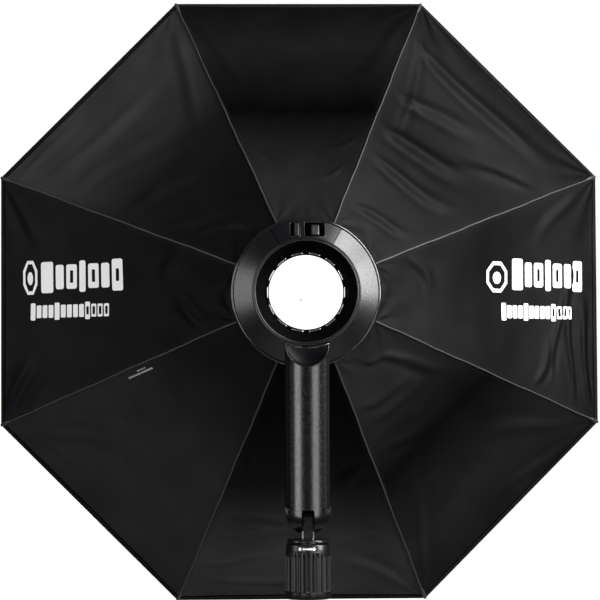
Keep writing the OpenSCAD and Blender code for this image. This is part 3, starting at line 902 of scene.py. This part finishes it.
# Angle from the top to the latch cover's seams, and half of a seam
LATCH_HALF = 29.5
SEAM_A = 0.3
WINDOW_Z = (62.5, 79.5)
WINDOWS_X = ((-18.4, -7.1), (-2.0, 21.7))
BUTTON_PROUD = 1.6
BEAD_R = 83.3
BEAD_Y = 13.9
BEAD_THICK = 3
FLOOR_Y = 10.0


def cone_y(x, z):
    """Rear surface of the conical ring face."""
    return FACE_REAR_Y + (hypot(x, z) - FACE_IN_R) * GRADE


def face_profile():
    """Outline of the ring face: rounded inner lip, a shallow line, conical face, rounded rim."""
    lip_y = FACE_REAR_Y - 0.9
    return fillet([(FACE_IN_R, FACE_REAR_Y + 3), (FACE_IN_R, lip_y), (FACE_IN_R + 1.9, lip_y + 0.3),
                   (FACE_IN_R + 2.4, FACE_REAR_Y + 2.4 * GRADE), (FACE_OUT_R, FACE_EDGE_Y),
                   (FACE_OUT_R, FACE_EDGE_Y + 2.3), (FACE_IN_R + 2, FACE_REAR_Y + 3.8)],
                  [0.3, 0.9, 0.7, 0.5, 0.9, 0.4, 0.3])


def window_line(name, outline):
    """Fine raised line round a window, lying on the cone."""
    path = [(x, cone_y(x, z) - 0.1, z) for x, z in outline + outline[:1]]
    finish_piece(tube(name, path, 0.42, gloss_black, 8), "hub", "gloss_black")


def raised_button(name, x0, x1, z0, z1, front_y, corner, body):
    """Button whose rear face follows the cone, with rounded edges and a shallow finger hollow."""
    cx, cz = (x0 + x1) / 2, (z0 + z1) / 2
    reach, reach_z = min(x1 - x0, z1 - z0) / 2, (z1 - z0) / 2
    # rows from the front round the edge, and then rings of the hollow: share of the reach, depth
    edge = [(0.0, None), (0.0, 1.3), (0.35 / reach, 0.45), (1.0 / reach, 0.0)]
    hollow = [(0.45, 0.05), (0.7, 0.2), (0.94, 0.3)]
    outline = box_outline(x0, x1, z0, z1, corner)
    rows = []
    for share, depth in edge + hollow:
        share_z = share if (share, depth) in hollow else share * reach / reach_z
        places = [(x + (cx - x) * share, z + (cz - z) * share_z) for x, z in outline]
        rows.append([(x, front_y if depth is None else cone_y(x, z) - BUTTON_PROUD + depth, z)
                     for x, z in places])
    finish_piece(shell_piece(name, rows, button_grey, sharp=40), body, "button_grey", body)


def outer_bead():
    """Round bead with a short joint on its right side."""
    steps, sides = 256, 20
    joint_a, joint_half, joint_depth = 6, 1.6, 0.45
    rows = []
    for a in steps_between(0, 360, steps)[:-1]:
        r = BEAD_THICK - joint_depth * max(0, 1 - abs((a - joint_a) / joint_half))
        rows.append([polar(BEAD_R + r * cos(t), a, BEAD_Y + r * sin(t)) for t in circle_steps(sides)])
    bead = shell_piece("outer_bead", rows, gloss_black, closed=True, sharp=80)
    finish_piece(bead, "hub", "gloss_black", "trim_ring")


def socket():
    """Funnel, socket wall, floor and the light's hole, with a round lip at the funnel's edge."""
    profile = fillet([(59.0, -7.2), (57.6, -7.9), (56.6, -6.6), (56.2, -5.6), (48.0, -0.6), (47.2, 0.6),
                      (47.2, FLOOR_Y), (42.5, FLOOR_Y), (42.5, 16), (62, 16), (62, 13.2), (50.7, 13.2),
                      (50.7, 3), (58.9, -4.5)],
                     [0.4, 0.5, 0.4, 0.4, 0.8, 0.5, 0.3, 0.6, 0.3, 0.3, 0.3, 0.3, 0.3, 0.3], 4)
    finish_piece(lathe("socket_funnel", profile, socket_black), "hub", "socket_black", "socket_collar")
    lip = [(58.5 + cos(t), -8.1 + sin(t)) for t in circle_steps(16)]
    finish_piece(lathe("socket_lip", lip, cover_grey, sharp=80), "hub", "cover_grey")


def plated_segments():
    """Plates with rounded ends, let into the socket's floor one after the other round it."""
    count, sweep, columns = 14, 17.7, 18
    inner_r, outer_r, end_r = 43.3, 46.2, 1.45
    mm_per_degree = 0.785
    # half of a plate's section: in from its edge, and above the floor
    section = [(0, 1.6), (0, 0.35), (0.3, 0.05), (0.8, -0.1)]
    row_length = 2 * len(section)
    verts, faces = [], []
    for s in range(count):
        base = len(verts)
        for i in range(columns + 1):
            a = s * 360 / count + sweep * (i / columns - 0.5)
            to_end = min(i, columns - i) / columns * sweep * mm_per_degree
            squeeze = end_r * (1 - sqrt(1 - max(0, 1 - to_end / end_r) ** 2))
            row = [(inner_r + squeeze + inset, y) for inset, y in section]
            row += [(outer_r - squeeze - inset, y) for inset, y in section[::-1]]
            verts += [polar(r, a, FLOOR_Y + y) for r, y in row]
        faces += grid_faces(columns + 1, row_length, base) + end_faces(columns + 1, row_length, base)
    finish_piece(add_piece("plated_segments", verts, faces, plated_steel, sharp=50), "hub",
                 "plated_steel", "magnet_segments")


def make_hub():
    """Ring face with its latch cover and buttons, outer bead, funnel and plated segments."""
    first, last = 90 - LATCH_HALF, 90 + LATCH_HALF
    cover = lathe("ring_cover", face_profile(), cover_grey, last + SEAM_A, first + 360 - SEAM_A, 240)
    finish_piece(cover, "hub", "cover_grey", "rear_cover")
    latch = lathe("latch_plate", face_profile(), latch_grey, first + SEAM_A, last - SEAM_A, 90)
    windows = [box_outline(*x_span, *WINDOW_Z, 2.2) for x_span in WINDOWS_X]
    for outline in windows:
        cut_away(latch, prism("cutter", outline, -30, 30, latch_grey))
    finish_piece(latch, "hub", "cover_grey", "latch_cover")
    for i, outline in enumerate(windows):
        window_line(f"window_line_{i + 1}", outline)
    low, high = node_box("release_button")
    raised_button("push_button", low.x, high.x, low.z, high.z, 4.5, 1.2, "release_button")
    raised_button("slide_button", 5.6, 15.2, 64.5, 76.5, 8.6, 1.4, "latch_slider")
    outer_bead()
    socket()
    plated_segments()


# ---------------------------------------------------------------- handle

# Half sizes of the upright bar, its middle plane and its ends; the lower end is rounded
HANDLE_Y = -8.0
HANDLE_W = 25.0
HANDLE_D = 16.0
HANDLE_TOP = -61.5
END_Z = -248.0
# Its section: a crown over most of a face, then round corners
CROWN_R = 50.0
CROWN_X = 23.5
CROWN_ANGLE = asin(CROWN_X / CROWN_R)
CORNER_R = (HANDLE_W - CROWN_X) / (1 - sin(CROWN_ANGLE))
SIDE_D = HANDLE_D - CROWN_R * (1 - cos(CROWN_ANGLE)) - CORNER_R * cos(CROWN_ANGLE)
# Shares of the way round a quarter of the section where the crown and the corner end
CROWN_END = 0.45
CORNER_END = 0.88
# Radius of the hub under the handle's top, and how far down the top is bent to it
HUB_R = 62.3
TOP_BEND = 22
SCOOP_W = 24.3
SCOOP_H = 26.3
SCOOP_Z = -59.0
SCOOP_FLOOR = -7.4
BROW_R = 64.0
# Shares of a quarter where the sides' dull copy of the plastic ends, painted shade that keeps the highlight
# off them, and where the shoulders' paler satin copy, painted light, does
SIDE_END = 0.62
SHOULDER_END = 0.72
STEM_SLOT_HALF = 7.1


def handle_half_sizes(z):
    """Half width and half depth at z: full, and rounded off below END_Z."""
    q = min(1, max(0, (END_Z - z) / HANDLE_W))
    return HANDLE_W * sqrt(1 - q * q), HANDLE_D * sqrt(1 - q ** 2.6)


def handle_section(u):
    """Across and depth of the section, from the middle of a face (0) round the corner to the side (1)."""
    if u < CROWN_END:
        a = CROWN_ANGLE * u / CROWN_END
        return CROWN_R * sin(a), HANDLE_D - CROWN_R * (1 - cos(a))
    if u < CORNER_END:
        a = CROWN_ANGLE + (pi / 2 - CROWN_ANGLE) * (u - CROWN_END) / (CORNER_END - CROWN_END)
        return HANDLE_W - CORNER_R * (1 - sin(a)), SIDE_D + CORNER_R * cos(a)
    return HANDLE_W, SIDE_D * (1 - u) / (1 - CORNER_END)


def handle_rear(x):
    """The rear face's y on the straight part of the bar."""
    if abs(x) < CROWN_X:
        return HANDLE_Y - HANDLE_D + CROWN_R - sqrt(CROWN_R ** 2 - x ** 2)
    return HANDLE_Y - SIDE_D - sqrt(CORNER_R ** 2 - (abs(x) - HANDLE_W + CORNER_R) ** 2)


def handle_point(z, t):
    """Place on the bar at angle t of its section, and whether it lies in the thumb scoop."""
    a, b = handle_half_sizes(z)
    across, depth = handle_section(1 - atan2(abs(sin(t)), abs(cos(t))) / (pi / 2))
    x = a / HANDLE_W * across * (1 if cos(t) > 0 else -1)
    y = HANDLE_Y + b / HANDLE_D * depth * (1 if sin(t) > 0 else -1)
    z += (-sqrt(HUB_R ** 2 - x * x) - HANDLE_TOP) * max(0, 1 - (HANDLE_TOP - z) / TOP_BEND)
    inside = 1 - (x / SCOOP_W) ** 2 - ((z - SCOOP_Z) / SCOOP_H) ** 2
    sunk = inside > 0 and y < SCOOP_FLOOR
    if sunk:
        y += (SCOOP_FLOOR - y) * min(1, inside ** 0.4)
    return (x, y, z), sunk


def whole_handle():
    """The bar before it is split, with its thumb scoop and the slot for the tilting stem."""
    rings, sides = 330, 200
    verts, sunk = [], []
    for z in steps_between(HANDLE_TOP, END_Z - HANDLE_W + 0.004, rings - 1):
        if z < END_Z:
            # closer rings toward the pole
            z = END_Z - HANDLE_W * sin((END_Z - z) / HANDLE_W * pi / 2) * 0.99995
        for t in circle_steps(sides):
            place, is_sunk = handle_point(z, t)
            verts.append(place)
            sunk.append(is_sunk)
    faces = grid_faces(rings, sides) + end_faces(rings, sides)
    # Material of each face: the scoop's, the main one below the straight part, or by its place
    # in a quarter of the section, counted from the side: painted shade on the sides, painted light on the
    # shoulders
    quarter = sides // 4
    side, shoulder = int(quarter * SIDE_END), int(quarter * SHOULDER_END)
    by_place = [2] * side + [3] * (shoulder - side) + [0] * (quarter + 1 - shoulder)
    mats = []
    for face in faces:
        j = face[0] % (2 * quarter)
        straight = verts[face[0]][2] > END_Z + 4
        in_scoop = sum(sunk[v] for v in face) > 2
        mats.append(1 if in_scoop else by_place[min(j, 2 * quarter - j)] if straight else 0)
    handle_materials = [handle_grey, scoop_black, side_shaded_plastic, shoulder_lit_plastic]
    whole = add_piece("handle_whole", verts, faces, handle_materials, mats)
    slot = box_outline(-STEM_SLOT_HALF, STEM_SLOT_HALF, -300, -246, [0.1, 0.1, 2.2, 2.2])
    cut_away(whole, prism("cutter", slot, -60, 1.5, handle_grey))
    return whole


def handle_shell(name, node, whole, keep):
    """The part of the handle behind (keep -1) or before (1) its parting line."""
    seam = 0.12
    mesh = whole.data.copy()
    bm = bmesh.new()
    bm.from_mesh(mesh)
    result = bmesh.ops.bisect_plane(
        bm, geom=bm.verts[:] + bm.edges[:] + bm.faces[:], plane_co=(0, (HANDLE_Y + keep * seam) * MM, 0),
        plane_no=(0, -keep, 0), clear_outer=True)
    rim = [e for e in result["geom_cut"] if isinstance(e, bmesh.types.BMEdge)]
    bmesh.ops.contextual_create(bm, geom=rim)
    bmesh.ops.holes_fill(bm, edges=rim)
    bm.to_mesh(mesh)
    bm.free()
    smooth_mesh(mesh, 40)
    obj = bpy.data.objects.new(name, mesh)
    bpy.context.scene.collection.objects.link(obj)
    finish_piece(obj, "hub", "handle_grey", node)


def make_handle():
    """Two shells that meet at a hairline, with beads on that line and round the thumb scoop."""
    whole = whole_handle()
    handle_shell("handle_shell_rear", "handle_rear_shell", whole, -1)
    handle_shell("handle_shell_front", "handle_front_shell", whole, 1)
    bpy.data.objects.remove(whole)
    # Fine bead on the parting line round the lower end, one on each side of the slot
    for name, way in (("end_bead_left", -1), ("end_bead_right", 1)):
        path = []
        for t in arc_steps(-12, 70, 30):
            x, up = way * HANDLE_W * cos(max(0, t)), max(0.0, sin(t))
            path.append((x, HANDLE_Y - 2.5 * (1 - up), END_Z - HANDLE_W * sin(t)))
        finish_piece(tube(name, path, 1.0, cover_grey, 12), "hub", "handle_grey")
    lip, brow = [], []
    for t in arc_steps(-86, 86, 60):
        x, z = SCOOP_W * sin(t), SCOOP_Z - SCOOP_H * cos(t)
        lip.append((x, handle_rear(x) + 0.15, z))
    for t in arc_steps(-22.5, 22.5, 40):
        x, z = BROW_R * sin(t), -BROW_R * cos(t)
        brow.append((x, handle_rear(x) + 0.2, z))
    finish_piece(tube("scoop_lip", lip, 0.6, gloss_black, 10), "hub", "gloss_black")
    finish_piece(tube("scoop_brow", brow, 0.8, gloss_black, 10), "hub", "gloss_black")


# ---------------------------------------------------------------- stand adapter

PIVOT_Z = -256.0
CAP_TOP = -278.0
COLLAR_TOP = -284.0
COLLAR_END = -345.5
COLLAR_BORE = 12.3
FLUTES = 30
FLUTE_TOP = COLLAR_TOP - 8.3
FLUTE_END = COLLAR_END + 8.5
# Length over which a flute opens out from its pointed upper end, and its depth
FLUTE_POINT = 5.5
FLUTE_DEPTH = 1.5
# The marks on the collar's smooth upper band: their angles and sizes in mm
MARK_BAND_R = 24.5
MARK_R = MARK_BAND_R + 0.12
MARK_Z = COLLAR_TOP - 4.7
MARKS = ((-113, 1.9), (-103, 1.1), (-98.5, 0.8), (-94.5, 0.8), (-90.5, 1.1), (-84.5, 1.3), (-76, 1.8))


def make_stem():
    """Flat bar with chamfered edges and a round eye on the tilt axle."""
    half, chamfer, shrunk = 6.85, 1.65, 0.85
    eye_r, bar_half = 7.2, 7.5
    outline = [(HANDLE_Y + eye_r * cos(t), PIVOT_Z + eye_r * sin(t)) for t in arc_steps(-8, 188, 24)]
    outline += [(HANDLE_Y - bar_half, PIVOT_Z - 1.6), (HANDLE_Y - bar_half, CAP_TOP),
                (HANDLE_Y + bar_half, CAP_TOP), (HANDLE_Y + bar_half, PIVOT_Z - 1.6)]
    rows = []
    for x, share in ((-half, shrunk), (chamfer - half, 1.0), (half - chamfer, 1.0), (half, shrunk)):
        rows.append([(x, HANDLE_Y + (y - HANDLE_Y) * share,
                      z if z < PIVOT_Z - 10 else PIVOT_Z + (z - PIVOT_Z) * share) for y, z in outline])
    obj = shell_piece("stem_bar", rows, stem_metal, sharp=28)
    finish_piece(obj, "stand_adapter", "stem_black", "tilt_stem")


def fluted(r, z, a):
    """The collar's radius with V-shaped grooves whose upper ends narrow to a point."""
    if not FLUTE_END <= z <= FLUTE_TOP + 0.8 or r < 20:
        return r
    from_middle = abs(a * FLUTES / (2 * pi) % 1.0 - 0.5) * 2
    reach = min(1, max(0, (FLUTE_TOP - z) / FLUTE_POINT))
    low = min(1, max(0, (z - FLUTE_END) / 0.8))
    groove = max(0, 1 - from_middle / max(0.05, 0.62 * reach))
    return r - FLUTE_DEPTH * groove ** 0.8 * low * reach


def make_collar():
    """Knurled lock collar with a smooth upper band that has printed marks."""
    profile = [(COLLAR_BORE, COLLAR_TOP + 0.1), (22.6, COLLAR_TOP), (24.0, COLLAR_TOP - 0.5),
               (MARK_BAND_R, COLLAR_TOP - 1.5), (MARK_BAND_R, COLLAR_TOP - 7.8), (24.8, FLUTE_TOP)]
    profile += [(25.3, z) for z in steps_between(FLUTE_TOP, FLUTE_END, 60)]
    profile += [(25.5, FLUTE_END - 0.05), (26.0, FLUTE_END - 0.6), (26.0, COLLAR_END + 2.2),
                (25.6, COLLAR_END + 1.0), (24.4, COLLAR_END), (COLLAR_BORE, COLLAR_END)]
    collar = spin_z("knurled_collar", profile, collar_black, 480, 30, fluted)
    finish_piece(collar, "lock_collar", "collar_black", "lock_collar")
    # Generic marks on the collar's upper band: a row of dots between two larger ones
    sides = 20
    verts, faces = [], []
    for a, size in MARKS:
        base = len(verts)
        for share in (1.0, 0.05):
            for t in circle_steps(sides):
                r = size * share
                turn = radians(a) + r * cos(t) / MARK_BAND_R
                verts.append((MARK_R * cos(turn), HANDLE_Y + MARK_R * sin(turn), MARK_Z + r * sin(t)))
        faces += grid_faces(2, sides, base) + end_faces(2, sides, base)[1:]
    marks = mark_cloth(add_piece("collar_marks", verts, faces, print_white, smooth=False))
    finish_piece(marks, "lock_collar", "white_cloth")


def make_adapter():
    """Tilting stem, the disc under it and the collar."""
    make_stem()
    cap = [(0.4, 0.1), (9.5, 0.1), (10.5, -0.4), (21.2, -0.7), (22.6, -1.0), (23.5, -1.8), (23.8, -3.0),
           (23.8, -4.2), (23.3, -5.0), (0.4, -5.0)]
    obj = spin_z("cap_disc", [(r, CAP_TOP + z) for r, z in cap], cap_black, 120)
    finish_piece(obj, "stand_adapter", "gloss_black", "cap_ring")
    make_collar()


# ---------------------------------------------------------------- CAD nodes that keep their shape

PLAIN_NODES = {
    "base_plate": socket_black, "fabric_clamp_ring": gloss_black, "hub_carrier": socket_black,
    "hinge_pins": plated_steel, "front_cover": inner_white, "hub_screws": plated_steel,
    "button_spring": plated_steel, "handle_screws": plated_steel, "handle_spine": spine_metal,
    "tilt_axle": plated_steel, "friction_washers": brass, "socket_bush": spine_metal,
    **{f"rib_{k}": rib_metal for k in range(1, RIBS + 1)},
}


def dress_nodes():
    """Finishes for the nodes that stay as they are; the button's spring gets a mesh of its own."""
    for name, mat in PLAIN_NODES.items():
        mesh = nodes[name].data
        mesh.materials.clear()
        mesh.materials.append(mat)
    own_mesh(nodes["button_spring"])


# ---------------------------------------------------------------- camera, light and floor

# Metres and watts here. Lights: place, target, width and height, power
CAMERA_PLACE = (-0.083, -2.5, -0.106)
CAMERA_ROLL = -0.3
LENS = 132.4
SENSOR = 36
LIGHTS = {
    "key_right": ((2.76, -1.05, 0.64), (0, 0, 0), (1.0, 1.7), 160),
    "key_upper": ((1.92, -1.05, 2.05), (0, 0, 0), (1.2, 1.8), 168),
    "fill_left": ((-2.76, -1.05, 0.3), (0, 0, 0), (1.0, 1.9), 38),
    "strip_left": ((-1.24, -2.74, -0.1), (0, 0, -0.15), (0.8, 1.6), 26),
    "strip_right": ((1.16, -2.77, -0.1), (0, 0, -0.15), (0.85, 1.6), 24),
    "low": ((0, 1.7, -2.2), (0, 0, -0.2), (1.6, 0.5), 12),
    # shines through the diffuser from its front
    "front": ((0.35, 1.35, 0.45), (0, 0.2, 0), (1.2, 1.2), 44),
}
WORLD_FILL = 0.03
FLOOR_MM = 5000
FLOOR_Z_MM = -4600


def aim(obj, place, target):
    """Places a camera or light and points it at a target; returns its turn."""
    bpy.context.scene.collection.objects.link(obj)
    obj.location = place
    obj.rotation_mode = "QUATERNION"
    obj.rotation_quaternion = (Vector(target) - Vector(place)).to_track_quat("-Z", "Y")
    return obj.rotation_quaternion


def add_camera():
    """Straight from behind, a little to the left and below, as in the picture."""
    camera = bpy.data.objects.new("camera", bpy.data.cameras.new("camera"))
    turn = aim(camera, CAMERA_PLACE, (0, RIM_Y * MM, 0))
    camera.rotation_quaternion = turn @ Quaternion((0, 0, 1), radians(CAMERA_ROLL))
    camera.data.lens = LENS
    camera.data.sensor_width = SENSOR
    camera.data.clip_end = 50
    bpy.context.scene.camera = camera


def add_lights():
    for name, (place, target, size, power) in LIGHTS.items():
        light = bpy.data.lights.new(name, "AREA")
        light.shape = "RECTANGLE"
        light.size, light.size_y = size
        light.energy = power
        aim(bpy.data.objects.new(name, light), place, target)


def add_surroundings():
    """White behind the part for the camera, a faint fill for everything else, and a pale floor."""
    world = bpy.data.worlds.new("studio")
    bpy.context.scene.world = world
    world.use_nodes = True
    tree = world.node_tree
    tree.nodes.clear()
    seen = add_node(tree, "Background", {"Color": (1, 1, 1, 1), "Strength": 1.0})
    fill = add_node(tree, "Background", {"Color": (0.95, 0.97, 1, 1), "Strength": WORLD_FILL})
    mix = add_node(tree, "MixShader", {"Fac": add_node(tree, "LightPath").outputs["Is Camera Ray"],
                                       1: fill.outputs["Background"], 2: seen.outputs["Background"]})
    add_node(tree, "OutputWorld", {"Surface": mix.outputs["Shader"]})
    bpy.context.scene.view_settings.view_transform = "Standard"
    floor_mat = new_shader("pale_floor", (0.7, 0.7, 0.7), 0.6)
    tree = floor_mat.node_tree
    vary_roughness(floor_mat, noise_node(tree, place_source(tree), 200, 3), 0.5, 0.7)
    corners = [(x * FLOOR_MM, y * FLOOR_MM, FLOOR_Z_MM) for x, y in ((-1, -1), (1, -1), (1, 1), (-1, 1))]
    add_piece("floor", corners, [(0, 1, 2, 3)], floor_mat, smooth=False, fix=False)


make_cloth()
make_diffuser()
make_hub()
make_handle()
make_adapter()
dress_nodes()
add_camera()
add_surroundings()
add_lights()
